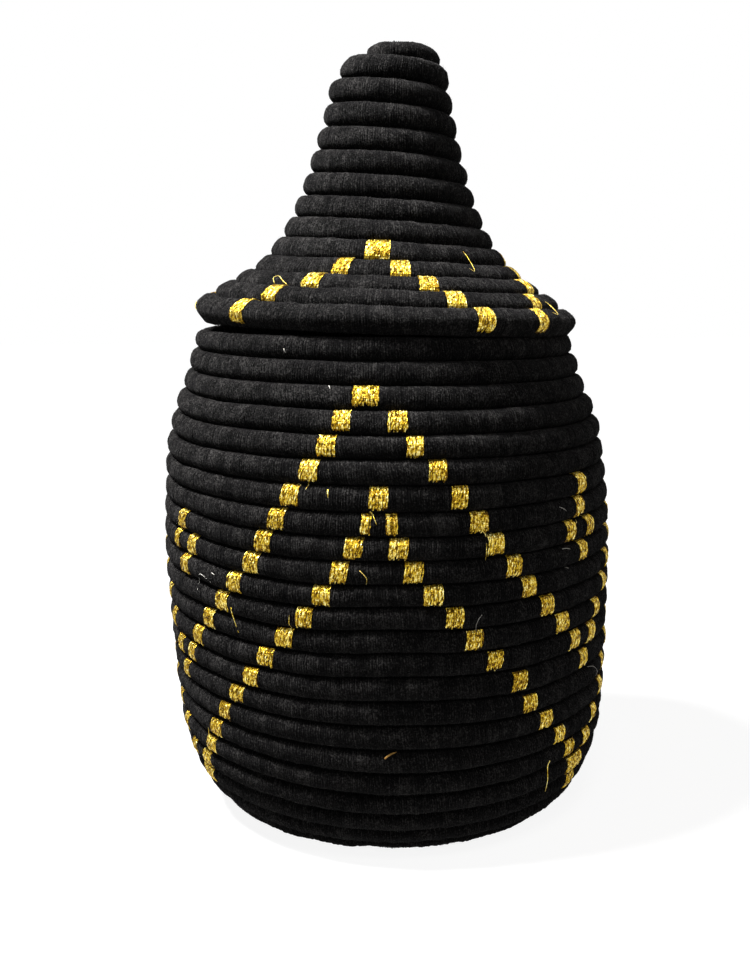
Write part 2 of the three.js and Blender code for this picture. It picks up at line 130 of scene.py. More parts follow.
class Coil:
    """A rope wound along an outline. Turns count from the front of course 1 and grow with the arc.

    turn is the way round that the rope runs, outward the side of the outline that it shows, and
    order the way that its courses are numbered. After late turns, its thin end rests on the turn
    before. A seated coil is part of the lid, so it is tilted and set on the rim.
    """

    def __init__(self, points, seed, turn, outward, order, lean, lean_height, late,
                 depth=ROPE_DEPTH, seated=False):
        rows, arcs = smooth_line(points)
        self.level = rows[0, 0]
        self.rows, self.arcs = rows, arcs + self.level
        self.along = np.gradient(rows, self.arcs, axis=0)
        self.along /= np.linalg.norm(self.along, axis=1)[:, None]
        self.length = self.arcs[-1]
        self.seed, self.turn, self.outward, self.order = seed, turn, outward, order
        self.lean, self.lean_height, self.late = lean, lean_height, late
        self.depth, self.seated = depth, seated

    def wind(self, pitch, first_arc):
        """Sets the distance between turns, and where on the outline the first course has its front."""
        self.pitch, self.first_arc = pitch, first_arc

    def place(self, arc):
        """Radius, height and direction of the outline, which runs on straight past its ends."""
        arc = np.asarray(arc, float)
        inside = np.clip(arc, self.level, self.length)
        before, beyond = np.minimum(arc - self.level, 0), np.maximum(arc - self.length, 0)
        r, z = (np.interp(inside, self.arcs, self.rows[:, k]) for k in (0, 1))
        ar, az = (np.interp(inside, self.arcs, self.along[:, k]) for k in (0, 1))
        if self.level > 0:
            ar, az = np.where(before < 0, 1.0, ar), np.where(before < 0, 0.0, az)
        return r + before + ar * beyond, z + az * beyond, ar, az

    def drift(self, turns):
        """How far hand work has moved the rope along the outline from an even pitch."""
        return 0.0 * turns

    def arc(self, turns):
        """How far along the outline the rope's centre is."""
        return self.first_arc + self.pitch * turns + self.drift(turns)

    def sway(self, height):
        """How far the outline leans to the right at a height."""
        return self.lean * height / self.lean_height

    def turns(self, course, angle):
        """The place on the rope that has this course number and angle from the front."""
        return self.order * (course - 1) + angle / 360.0

    def point(self, turns, arc, out, slip):
        """Points beside the rope's centre line, out of the outline and along it, in metres."""
        r, z, ar, az = self.place(arc)
        radius = r + self.outward * az * out + ar * slip
        height = z - self.outward * ar * out + az * slip
        a = 2 * np.pi * np.asarray(turns)
        x = self.sway(height) + self.turn * radius * np.sin(a)
        p = np.stack([x, -radius * np.cos(a), height], axis=-1)
        if self.seated:
            c, s = math.cos(LID_TILT), math.sin(LID_TILT)
            p = np.stack([c * p[..., 0] + s * p[..., 2] + WALL_LEAN, p[..., 1],
                          -s * p[..., 0] + c * p[..., 2] + LID_SEAT], axis=-1)
        return p * MM

    def swell(self, turns):
        """How much fuller than its nominal depth the rope is, in millimetres."""
        return 0.0 * turns

    def halves(self, turns):
        """Half the distance to the next turn of rope on each side."""
        here = self.arc(turns)
        return (self.arc(turns + 1) - here) / 2, (here - self.arc(turns - 1)) / 2

    def ridge_radius(self, turns):
        """The distance of the rope's outer side from the coil's axis."""
        r, _, _, az = self.place(self.arc(turns))
        return np.maximum(r + self.outward * az * self.depth / 2, 4.0)


# What a turn counts as in millimetres, for the ripples in each rope's drift.
WALL_AROUND, LID_AROUND = 840.0, 500.0


class WallCoil(Coil):
    """The wall's rope, with the hand-made drift of its courses in millimetres along the outline.

    The drift has one row for each of the courses and one column for each of the angles.
    """

    courses = np.array([1, 4, 6, 8, 10, 12, 14, 16, 18, 20, 22, 24])
    angles = np.array([-130, -90, -55, -35, -18, 0, 18, 35, 55, 90, 130])
    table = np.pad(np.array([
        [0.0, 0.2, 0.2, 0.2, 0.3, 0.2, 0.2, 0.2, 0.0],
        [-0.5, -0.8, -0.8, -0.8, -1.0, -1.0, -0.8, -0.6, 0.0],
        [-0.5, -0.8, -0.5, -0.4, -0.2, -0.9, -0.8, -0.4, 0.0],
        [-0.5, -0.9, -1.2, -2.2, -1.5, -1.8, -1.0, 0.0, 0.5],
        [0.0, -0.1, -0.4, -0.9, -0.8, -1.8, -0.5, 1.5, 1.5],
        [0.5, 0.6, 0.1, -0.4, 1.1, -0.8, 0.1, 1.6, 1.0],
        [0.8, 1.1, 0.3, 0.2, 1.6, -0.9, -0.7, 0.9, 0.8],
        [0.0, 0.2, -1.8, -1.0, 0.0, -0.8, -0.3, 0.4, 0.3],
        [0.0, -0.5, -1.9, -2.6, -3.0, -2.2, -1.2, -0.6, 0.0],
        [1.0, 1.8, -0.5, -2.4, -3.4, -2.4, -0.6, 1.0, 0.8],
        [0.5, 1.0, -0.4, -1.6, -2.4, -1.6, -0.4, 0.8, 0.5]]), ((0, 1), (1, 1)))

    def drift(self, turns):
        course = 1 - np.asarray(turns, float)
        angle = (course * -360 + 360 + 180) % 360 - 180
        row = np.interp(course, self.courses, np.arange(len(self.courses)))
        column = np.interp(angle, self.angles, np.arange(len(self.angles)))
        top = np.minimum(row.astype(int), len(self.courses) - 2)
        left = np.minimum(column.astype(int), len(self.angles) - 2)
        y, x = row - top, column - left
        drift = ((1 - y) * ((1 - x) * self.table[top, left] + x * self.table[top, left + 1])
                 + y * ((1 - x) * self.table[top + 1, left] + x * self.table[top + 1, left + 1]))
        fade = np.clip(24.0 - course, 0, 1) * np.clip(course - 0.6, 0, 1)
        path = WALL_AROUND * turns
        return drift + fade * (0.3 * ripple(path, 150.0, 5) + 0.38 * ripple(path, 34.0, 6))

    def halves(self, turns):
        """The rim's top is lower at the left."""
        up, down = super().halves(turns)
        angle = (turns * 360 + 180) % 360 - 180
        low = np.exp(-((angle - 85.0) / 32.0) ** 2) * np.clip((turns + 0.6) / 0.3, 0, 1)
        return up - 1.7 * low, down

    def swell(self, turns):
        return np.interp(1 - turns, [0, 1, 3, 5, 6, 8, 11, 13, 17, 20, 22],
                         [0.3, 0.5, 0, 0.8, 1.0, 0, 0.6, 0, 0.3, 0.9, 0])


class LidCoil(Coil):
    """The lid's rope. Its brim is fullest at the left, and its neck leans a little to the left."""

    def sway(self, height):
        return (super().sway(height) - 1.2 * ease((height - 40.0) / 110.0)
                + 3.0 * ease((height - 152.0) / 14.0))

    def drift(self, turns):
        path = LID_AROUND * turns
        fade = np.clip(turns - 0.3, 0, 1) * np.clip(13.4 - turns, 0, 1)
        return fade * (0.35 * ripple(path, 120.0, 7) + 0.25 * ripple(path, 31.0, 8))

    def swell(self, turns):
        angle = (turns * 360 + 180) % 360 - 180
        left = np.exp(-((angle + 95.0) / 38.0) ** 2)
        return (left * np.interp(turns, [0, 1, 2, 10.5, 12, 13.4], [0, 0.8, 0, 0.3, 1.6, 2.4])
                + np.interp(turns, [0, 0.6, 1.6, 8, 10], [0.4, 0.4, 0.9, 0.9, 0]))


wall = WallCoil([(r * BELLY_RADIUS, h * RIM_HEIGHT) for r, h in WALL_SHAPE], seed=11, turn=-1,
                outward=1, order=-1, lean=WALL_LEAN, lean_height=RIM_HEIGHT, late=0.3)
wall.wind(wall.length / WALL_TURNS, wall.length)
lid = LidCoil([(r * BRIM_RADIUS, h * TIP_HEIGHT) for r, h in LID_SHAPE], seed=12, turn=1,
              outward=-1, order=1, lean=CONE_LEAN, lean_height=TIP_HEIGHT, late=13.0, seated=True)
lid.wind(lid.length / LID_TURNS, lid.length - (LID_COURSES - 1) * (lid.length / LID_TURNS))
collar = Coil([(COLLAR_RADIUS, COLLAR_TOP), (COLLAR_RADIUS, COLLAR_TOP - 2 * COLLAR_PITCH)], seed=13,
              turn=1, outward=-1, order=1, lean=0.0, lean_height=1.0, late=1.2, depth=COLLAR_DEPTH,
              seated=True)
collar.wind(COLLAR_PITCH, collar.level + COLLAR_PITCH / 2)


# Mesh making
def make_mesh(name, points, quads, triangles=None, smooth=True, values=None):
    """A mesh object from arrays. values are named vectors, one for each point."""
    quads = np.asarray(quads, np.int32).reshape(-1, 4)
    triangles = np.asarray(triangles if triangles is not None else [], np.int32).reshape(-1, 3)
    mesh = bpy.data.meshes.new(name)
    mesh.vertices.add(len(points))
    mesh.vertices.foreach_set("co", np.ascontiguousarray(points, np.float32).ravel())
    loops = np.concatenate([quads.ravel(), triangles.ravel()])
    starts = np.concatenate([np.arange(len(quads)) * 4, len(quads) * 4 + np.arange(len(triangles)) * 3])
    mesh.loops.add(len(loops))
    mesh.loops.foreach_set("vertex_index", loops)
    mesh.polygons.add(len(starts))
    mesh.polygons.foreach_set("loop_start", starts.astype(np.int32))
    mesh.polygons.foreach_set("use_smooth", np.full(len(starts), smooth))
    mesh.update(calc_edges=True)
    for key, rows in (values or {}).items():
        layer = mesh.attributes.new(key, "FLOAT_VECTOR", "POINT")
        layer.data.foreach_set("vector", np.ascontiguousarray(rows, np.float32).ravel())
    piece = bpy.data.objects.new(name, mesh)
    bpy.context.scene.collection.objects.link(piece)
    return piece


def tube_faces(rows, sides, first=0, closed=False):
    """Quads of a tube whose rows of points follow each other."""
    i = np.arange(rows if closed else rows - 1)[:, None]
    j = np.arange(sides)[None, :]
    after, beside = (i + 1) % rows, (j + 1) % sides
    corners = i * sides + j, i * sides + beside, after * sides + beside, after * sides + j
    return np.stack(np.broadcast_arrays(*corners), axis=-1).reshape(-1, 4) + first


def capped_tube(name, points, values):
    """A tube from rows of points, closed at each end by a fan round the end's middle."""
    rows, sides = points.shape[:2]
    flat = np.vstack([points.reshape(-1, 3), points[0].mean(0), points[-1].mean(0)])
    j = np.arange(sides)
    beside, last, middle = (j + 1) % sides, (rows - 1) * sides, np.full(sides, rows * sides)
    fans = np.vstack([np.stack([beside, j, middle], 1),
                      np.stack([last + j, last + beside, middle + 1], 1)])
    values = values.reshape(-1, 3)
    values = np.vstack([values, values[:1], values[-1:]])
    return make_mesh(name, flat, tube_faces(rows, sides), fans, True, {"yarn": values})


# Wool rope
# The section's corners are angles round the rope, from its outer side. Flatness is the power of
# the rounded box that the section follows, for the lid by turn. Each turn presses into the next by
# NESTING on its side, and a wrapping that leans is shifted by its lean times LEAN_REACH there.
SECTION = np.radians([-155, -118, -90, -72, -54, -37, -21, -7, 7, 21, 37, 54, 72, 90, 118, 155])
WALL_FLATNESS, LID_FLATNESS = 2.6, ([0.5, 7.0, 10.0, 13.5], [2.4, 2.5, 3.0, 3.0])
NESTING = 0.06
LEAN_REACH = 7.0


def rope_surface(coil, turns, phi, lift, scale=1.0, shift=0.0):
    """Points on a rope, with phi round it from its outer side and lift above its mean surface.

    scale thins the rope. shift moves the points along the rope, in millimetres.
    """
    up, down = coil.halves(turns)
    path = turns * 2 * np.pi * coil.ridge_radius(turns)
    half = (coil.depth / 2 + coil.swell(turns) + 0.4 * ripple(path, 38.0, coil.seed + 20)
            + 0.3 * ripple(path, 11.0, coil.seed + 21))
    across = np.where(np.sin(phi) > 0, up, down) + NESTING
    flat = np.interp(turns, *LID_FLATNESS) if coil is lid else WALL_FLATNESS
    r = (np.abs(np.cos(phi) / half) ** flat + np.abs(np.sin(phi) / across) ** flat) ** (-1 / flat)
    r = (r + lift) * scale
    slip = r * np.sin(phi) - (1 - scale) * down * (turns > coil.late)
    around = turns + shift / (2 * np.pi * coil.ridge_radius(turns))
    points = coil.point(around, coil.arc(turns), r * np.cos(phi), slip)
    if coil is wall:
        points[..., 2] = np.maximum(points[..., 2], 0.0)
    return points


def yarns(coil, start, end, width, seed):
    """The yarns of a wrapping from start to end, as rows of points along the rope, four to a yarn.

    Each row has its place in turns and in millimetres, lift, lean, tone and the yarn's number.
    """
    grid = np.linspace(start, end, 6000)
    radius = coil.ridge_radius(grid)
    path = np.concatenate([[0], np.cumsum(np.diff(grid) * np.pi * (radius[1:] + radius[:-1]))])
    rng = np.random.default_rng(seed)
    count = int(path[-1] / width) + 40
    widths = width * rng.uniform(0.72, 1.3, count)
    edges = np.concatenate([[0], np.cumsum(widths)])
    count = int(np.searchsorted(edges, path[-1])) - 1
    widths = widths[:count] * path[-1] / edges[count]
    edges = np.concatenate([[0], np.cumsum(widths)])
    crest = 0.22 + 0.13 * rng.normal(size=count)
    groove = -0.24 - 0.12 * np.abs(rng.normal(size=count))
    cracks = rng.uniform(size=count) < 0.02
    groove[cracks] -= rng.uniform(0.3, 0.7, cracks.sum())
    tone = np.clip(0.5 + 0.28 * rng.normal(size=count), 0, 1)
    along = edges[:-1] + coil.seed * 7000
    lean = 0.05 + 0.13 * ripple(along, 34.0, seed + 1) + 0.07 * ripple(along, 9.0, seed + 2)
    phases = np.array([0.0, 0.26, 0.5, 0.74])
    flank = crest * 0.72
    spots = (edges[:-1, None] + phases * widths[:, None]).ravel()
    return {
        "turns": np.interp(spots, path, grid),
        "path": spots,
        "lift": np.stack([groove, flank, crest, flank], axis=1).ravel(),
        "lean": np.repeat(lean, 4),
        "tone": np.repeat(tone, 4),
        "yarn": (np.arange(count)[:, None] + phases).ravel(),
    }


def gold_limits(coil, turns):
    """Between which degrees round the rope gold shows. Wool closes over it in the grooves."""
    if coil is wall:
        courses = [10, 16]
        return np.interp(1 - turns, courses, [-50, -42]), np.interp(1 - turns, courses, [80, 58])
    _, _, ar, az = coil.place(coil.arc(turns))
    slope = np.degrees(np.arctan2(-coil.outward * ar, coil.outward * az))
    return -50 - 0.9 * slope, 80


def wool_piece(name, coil, rows, pick, taper, under_gold=None):
    """The part of a wrapped rope that the picked rows make, closed at both ends."""
    turns, path, yarn, tone, lean = (
        rows[key][pick][:, None] for key in ("turns", "path", "yarn", "tone", "lean"))
    front, beside = np.abs(np.cos(SECTION))[None, :], SECTION[None, :] * coil.depth / 2
    lift = rows["lift"][pick][:, None] * (0.35 + 0.65 * front ** 0.8)
    lumps = (ripple(path + 1.3 * beside, 6.0, coil.seed + 31)
             + ripple(path - 1.1 * beside, 8.5, coil.seed + 32))
    lift = lift + 0.24 * lumps * front
    if under_gold is not None:
        rise = np.degrees(SECTION)[None, :] * coil.outward
        lowest, highest = gold_limits(coil, turns)
        hidden = under_gold(turns) & (rise > lowest + 4) & (rise < highest - 4)
        lift = np.where(hidden, -0.35, lift)
    rng = np.random.default_rng(len(turns) + coil.seed)
    lift = lift + rng.normal(0, 0.07, lift.shape)
    shift = lean * LEAN_REACH * np.sin(SECTION)[None, :] * coil.order * coil.turn
    points = rope_surface(coil, turns, SECTION[None, :], lift, taper(turns), shift)
    return capped_tube(name, points, np.stack(np.broadcast_arrays(yarn, beside, tone), axis=-1))


KNOT_YARNS = 24      # ridges round a knot


def knot_piece(name, node):
    """The tight bundle of yarn in the middle of a coil, as large as the node that it stands for."""
    low, high = (np.array(corner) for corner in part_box(node))
    around, up = np.linspace(0, 2 * np.pi, 96, endpoint=False), np.linspace(-1.5, 1.5, 40)[:, None]
    ring = np.stack(np.broadcast_arrays(
        np.cos(up) * np.cos(around), np.cos(up) * np.sin(around), np.sin(up)), axis=-1)
    ring /= (np.abs(ring) ** WALL_FLATNESS).sum(-1, keepdims=True) ** (1 / WALL_FLATNESS)
    twist = around + 0.5 * up
    relief = (1 + 0.02 * np.sin(KNOT_YARNS * twist) * np.cos(up)
              + 0.02 * ripple(12 * twist % 75.0, 4.0, 41))
    points = (low + high) / 2 + (high - low) / 2 * ring * relief[..., None]
    points[..., 2] = np.maximum(points[..., 2], low[2])
    values = np.broadcast_arrays(KNOT_YARNS * twist / (2 * np.pi), 8 * up, 0.5)
    return capped_tube(name, points, np.stack(values, axis=-1))


# Gold thread
class Square:
    """One square of a motif, by its course and its angle from the front."""

    def __init__(self, course, angle, width=10.0, lean=0.12):
        self.course, self.angle, self.width, self.lean = course, angle, width, lean


LOOP = 34            # rings of points on each strand's way round the rope
STRAND = 0.66        # millimetres from strand to strand


def gold_piece(name, coil, squares, seed):
    """Squares of metallic thread, each a bundle of strands that goes right round the rope.

    The "yarn" values are tone, place in the square, and how far the strand is clear of the wool,
    which also sets the painted shade at the square's lower and upper edges.
    """
    rng = np.random.default_rng(seed)
    all_points, all_quads, all_values = [], [], []
    phi = np.linspace(-np.pi, np.pi, LOOP, endpoint=False)
    rise = np.degrees(phi) * coil.outward
    for square in squares:
        count = max(int(round(square.width / STRAND)), 3)
        turns = coil.turns(square.course, square.angle)
        lean = square.lean + rng.normal(0, 0.03)
        lowest, highest = gold_limits(coil, turns)
        for k in range(count):
            offset = (k - (count - 1) / 2) * STRAND + rng.normal(0, 0.09)
            at_edge = k in (0, count - 1)
            wander = ripple(phi * 3 + 40 * k, 1.3, seed + 3) * (0.16 + 0.16 * at_edge)
            shift = offset + wander - lean * LEAN_REACH * np.sin(phi) * coil.order * coil.turn
            # Low at the square's edges: the strand sinks under the wool there, and the gold gets painted
            # shade.
            clear = (np.clip((rise - lowest + rng.normal(0, 6)) / 12, 0, 1)
                     * np.clip((highest - rise) / 14, 0, 1))
            lift = ((0.3 + rng.normal(0, 0.1, LOOP) + rng.normal(0, 0.08)) * clear
                    - 0.75 * (1 - clear))
            twist = rng.uniform(0, 2 * np.pi) + np.cumsum(rng.uniform(0.3, 1.1, LOOP))
            corner = twist[:, None] + np.array([0.0, 2.1, 4.2])[None, :]
            side, high = 0.42 * np.cos(corner), lift[:, None] + 0.24 * np.sin(corner)
            points = rope_surface(coil, turns + 0 * side, phi[:, None], high, 1.0, shift[:, None] + side)
            all_quads.append(tube_faces(LOOP, 3, LOOP * 3 * len(all_points), closed=True))
            all_points.append(points.reshape(-1, 3))
            tone = np.clip(rng.normal(0.5, 0.3, (LOOP, 1)) + rng.normal(0, 0.12), 0, 1)
            value = np.concatenate([tone, 0 * tone + k / count, clear[:, None]], axis=1)
            all_values.append(np.repeat(value, 3, axis=0))
    return make_mesh(name, np.vstack(all_points), np.vstack(all_quads), None, False,
                     {"yarn": np.vstack(all_values)})


# Loose ends and fuzz
class End:
    """A loose end on a rope. Its stops are course, angle, degrees round the rope, and lift."""

    def __init__(self, radius, *stops):
        self.radius, self.stops = radius, stops


END_SIDES = 6        # corners of a loose end's section


def loose_piece(name, coil, ends):
    """Short threads, each a tapered tube along a smooth line through its stops."""
    all_points, all_quads, all_caps, all_values, first = [], [], [], [], 0
    corner = np.linspace(0, 2 * np.pi, END_SIDES, endpoint=False)[None, :, None]
    for number, end in enumerate(ends):
        stops = [rope_surface(coil, np.array(coil.turns(course, angle)),
                              np.array(math.radians(phi)), lift)
                 for course, angle, phi, lift in end.stops]
        line = smooth_line(stops, 7)[0]
        along = np.gradient(line, axis=0)
        along /= np.linalg.norm(along, axis=1)[:, None]
        across = np.cross(along, [0.31, 0.42, 0.85])
        across /= np.linalg.norm(across, axis=1)[:, None]
        other = np.cross(along, across)
        size = end.radius * MM * (1 - 0.45 * np.linspace(0, 1, len(line)) ** 2)
        ring = np.cos(corner) * across[:, None, :] + np.sin(corner) * other[:, None, :]
        points = line[:, None, :] + size[:, None, None] * ring
        all_points.append(points.reshape(-1, 3))
        all_quads.append(tube_faces(len(line), END_SIDES, first))
        last = first + (len(line) - 1) * END_SIDES
        for a, way in ((first, -1), (last, 1)):
            all_caps += [[a, a + k, a + k + 1][::way] for k in range(1, END_SIDES - 1)]
        tone = np.random.default_rng(number).uniform(0.45, 1.0, len(line))
        value = np.stack([tone, 0 * tone, 1 + 0 * tone], axis=-1)
        all_values.append(np.repeat(value, END_SIDES, axis=0))
        first += len(line) * END_SIDES
    return make_mesh(name, np.vstack(all_points), np.vstack(all_quads), all_caps, True,
                     {"yarn": np.vstack(all_values)})


def fuzz_piece(name, coil, low, high, count, seed):
    """Fine fibres that stand off the wool between two places of a rope, three rings of points each."""
    rng = np.random.default_rng(seed)
    turns = rng.uniform(low, high, count)
    phi = rng.uniform(-1.35, 1.35, count)
    reach, turn = rng.normal(0, 1.5, count), rng.normal(0, 0.2, count)
    rise = (0.15 + np.minimum(rng.exponential(0.5, count), 1.7)) * np.cos(phi) ** 0.6
    step = np.linspace(0, 1, 3)[None, :]
    curl = rng.normal(0, 0.5, (count, 1)) * step * (1 - step) * 4
    line = rope_surface(coil, turns[:, None] + 0 * step, phi[:, None] + turn[:, None] * step,
                        -0.15 + rise[:, None] * step ** 1.6, 1.0, reach[:, None] * step + curl)
    corner = rng.normal(size=(count, 1, 3, 3))
    corner -= corner.mean(axis=2, keepdims=True)
    corner /= np.linalg.norm(corner, axis=3, keepdims=True)
    points = line[:, :, None, :] + corner * 0.05 * MM * (1.15 - step)[..., None, None]
    quads = tube_faces(3, 3)[None] + 9 * np.arange(count)[:, None, None]
    tone = np.repeat(rng.uniform(0, 1, (count, 1)), 9, axis=0)
    return make_mesh(name, points.reshape(-1, 3), quads.reshape(-1, 4), None, True,
                     {"yarn": np.repeat(tone, 3, axis=1)})


# Materials
class Nodes:
    """A short way to write the node tree of a material, or of the world."""

    def __init__(self, owner, output="OutputMaterial"):
        self.owner = owner
        owner.use_nodes = True
        self.tree = owner.node_tree
        self.tree.nodes.clear()
        self.output = self.add(output)

    def add(self, kind, values=None, **links):
        """A node with some values set and some sockets linked."""
        node = self.tree.nodes.new("ShaderNode" + kind)
        for key, value in (values or {}).items():
            if isinstance(key, str) and hasattr(node, key):
                setattr(node, key, value)
            else:
                node.inputs[key].default_value = value
        for key, source in links.items():
            self.tree.links.new(source, node.inputs[key.replace("_", " ")])
        return node

    def link(self, source, target):
        self.tree.links.new(source, target)

    def show(self, node):
        """Makes this shader the surface."""
        self.link(node.outputs[0], self.output.inputs["Surface"])

    def noise(self, place, scale, detail, roughness):
        values = {"Scale": scale, "Detail": detail, "Roughness": roughness}
        return self.add("TexNoise", values, Vector=place).outputs["Fac"]

    def bump(self, height, strength, distance):
        values = {"Strength": strength, "Distance": distance}
        return self.add("Bump", values, Height=height).outputs["Normal"]

    def yarn(self):
        """The three values that each point of a piece carries."""
        values = self.add("Attribute", {"attribute_name": "yarn"}).outputs["Vector"]
        split = self.add("SeparateXYZ", Vector=values)
        return [split.outputs[axis] for axis in "XYZ"]

    def ramp(self, source, stops):
        node = self.add("ValToRGB", Fac=source)
        ramp = node.color_ramp
        while len(ramp.elements) < len(stops):
            ramp.elements.new(0.5)
        for element, (position, colour) in zip(ramp.elements, stops):
            element.position = position
            element.color = (*colour, 1.0)
        return node.outputs["Color"]

    def math(self, operation, a, b=None, clamp=False):
        """A sum of sockets or numbers, held between 0 and 1 where clamp is set."""
        node = self.add("Math", {"operation": operation, "use_clamp": clamp})
        for socket, value in zip(node.inputs, (a, b)):
            if value is None:
                continue
            if isinstance(value, (int, float)):
                socket.default_value = value
            else:
                self.link(value, socket)
        return node.outputs[0]

    def spread(self, source, amount, base):
        """A share of a value on top of a base, held between 0 and 1."""
        return self.math("ADD", self.math("MULTIPLY", source, amount), base, True)


def blend(dark, light, share):
    """The colour this share of the way from dark to light."""
    return tuple((1 - share) * a + share * b for a, b in zip(dark, light))


def wool_material(name, dark, light):
    """Wrapped yarn: painted shade in the grooves between yarns, streaks that follow each yarn, grain and
    larger patches.
    """
    n = Nodes(bpy.data.materials.new(name))
    place = n.add("TexCoord").outputs["Object"]
    count, around, tone = n.yarn()
    # Painted shade: darker in the grooves between yarns, lighter on each yarn's crest.
    painted_groove_shade = n.math("SINE", n.math("MULTIPLY", n.math("FRACT", count), math.pi))
    drawn = n.add("CombineXYZ", X=n.math("MULTIPLY", count, 1.6), Y=n.math("MULTIPLY", around, 0.5))
    streak = n.noise(drawn.outputs["Vector"], 1.0, 3.0, 0.7)
    grain = n.noise(place, 950.0, 3.0, 0.75)
    patch = n.noise(place, 90.0, 5.0, 0.75)
    mix = 0.5
    for part, middle, amount in ((painted_groove_shade, 0.64, 0.24), (streak, 0.5, 1.8), (grain, 0.5, 2.8),
                                 (patch, 0.5, 1.7), (tone, 0.5, 0.26)):
        mix = n.math("ADD", n.math("MULTIPLY", n.math("SUBTRACT", part, middle), amount), mix)
    colour = n.ramp(mix, [(0.1, dark), (0.5, blend(dark, light, 0.12)),
                          (0.75, blend(dark, light, 0.36)), (1.0, light)])
    height = n.math("ADD", n.math("MULTIPLY", grain, 0.7), n.math("MULTIPLY", streak, 0.6))
    height = n.math("ADD", n.math("MULTIPLY", patch, 1.4), height)
    sheen = {"Sheen Weight": 0.04, "Sheen Roughness": 0.5, "Sheen Tint": (0.5, 0.49, 0.5, 1.0)}
    n.show(n.add("BsdfPrincipled", {"Specular IOR Level": 0.04, **sheen}, Base_Color=colour,
                 Roughness=n.spread(grain, 0.12, 0.84), Normal=n.bump(height, 1.0, 0.0011)))
    return n.owner


def lint_material(name, dark, light):
    """Single fibres, each with a tone of its own."""
    n = Nodes(bpy.data.materials.new(name))
    place = n.add("TexCoord").outputs["Object"]
    tone = n.yarn()[0]
    speck = n.noise(place, 1800.0, 3.0, 0.6)
    mix = n.math("ADD", n.math("MULTIPLY", tone, 0.6), n.math("MULTIPLY", speck, 0.4), True)
    colour = n.ramp(mix, [(0.1, dark), (0.9, light)])
    n.show(n.add("BsdfPrincipled", {"Specular IOR Level": 0.2}, Base_Color=colour,
                 Roughness=n.spread(speck, 0.2, 0.6), Normal=n.bump(speck, 0.5, 0.0002)))
    return n.owner


def gold_material(name):
    """Metallic thread with a flake pattern, and painted shade where the strands sink under the wool."""
    n = Nodes(bpy.data.materials.new(name))
    place = n.add("TexCoord").outputs["Object"]
    tone, _, painted_edge_shade_mask = n.yarn()
    flake = n.add("TexVoronoi", {"Scale": 1500.0}, Vector=place)
    spot = n.add("SeparateXYZ", Vector=flake.outputs["Color"]).outputs["X"]
    glint = n.noise(place, 1900.0, 3.0, 0.7)
    mix = n.math("ADD", n.math("MULTIPLY", tone, 0.42), n.math("MULTIPLY", glint, 0.36))
    mix = n.math("ADD", mix, n.math("MULTIPLY", spot, 0.3))
    # Painted shade: darker towards each square's lower and upper edges, where the strands sink under the
    # wool.
    shade = n.math("ADD", n.math("MULTIPLY", painted_edge_shade_mask, 0.82), 0.18)
    colour = n.ramp(n.math("MULTIPLY", mix, shade, True), [
        (0.2, (0.012, 0.005, 0.0005)), (0.38, (0.15, 0.07, 0.002)), (0.5, (0.42, 0.25, 0.009)),
        (0.63, (0.74, 0.53, 0.04)), (0.82, (1.0, 0.92, 0.42))])
    n.show(n.add("BsdfPrincipled", {"Metallic": 0.9}, Base_Color=colour,
                 Roughness=n.spread(spot, 0.25, 0.28), Normal=n.bump(glint, 0.6, 0.0003)))
    return n.owner


WOOL = wool_material("black_wool_yarn", (0.0003, 0.0003, 0.0004), (0.042, 0.0398, 0.0383))
FUZZ = lint_material("black_wool_fuzz", (0.0015, 0.0015, 0.0015), (0.05, 0.0475, 0.0455))
PALE = lint_material("pale_loose_fibre", (0.35, 0.32, 0.27), (0.8, 0.78, 0.72))
STRAW = lint_material("loose_straw_core", (0.28, 0.12, 0.02), (0.62, 0.36, 0.1))
GOLD = gold_material("gold_thread_spun")


def dress(piece, material, slot, body, *nodes):
    """Gives a piece its material, its body and the nodes that it stands for. Its slot is not used."""
    piece.data.materials.append(material)
    if nodes:
        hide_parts(*nodes)
    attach(piece, body)


# Where the gold squares are: courses from the rim or the tip, angles from the front
# These are the legs that face the camera, from the apex down, one angle for each course.
OUTER_LEFT = [10.4, 13.8, 17.9, 22.4, 25.9, 29.4, 32.9, 38.0, 42.8, 48.3, 54.2, 58.7, 63.6]
OUTER_RIGHT = [-3.0, -6.7, -11.6, -16.3, -20.8, -24.8, -29.4, -33.6, -39.3, -45.2, -50.6, -55.2]
INNER_LEFT = [5.0, 7.8, 11.2, 15.4, 19.7, 25.0, 30.5, 35.1, 40.2, 45.2, 49.7, 53.2, 58.3, 61.0]
INNER_RIGHT = [-0.8, -2.1, -5.2, -9.5, -14.4, -19.0, -24.3, -31.2, -34.5, -40.0, -45.6, -51.0,
               -53.5, -57.2]
OUTER_COURSE, OUTER_STEP = 4, 4.58
INNER_COURSE, INNER_STEP = 8, 4.08


def leg(first, angles):
    """Squares at these angles, on the first course and the ones after it."""
    return [Square(first + i, angle) for i, angle in enumerate(angles)]


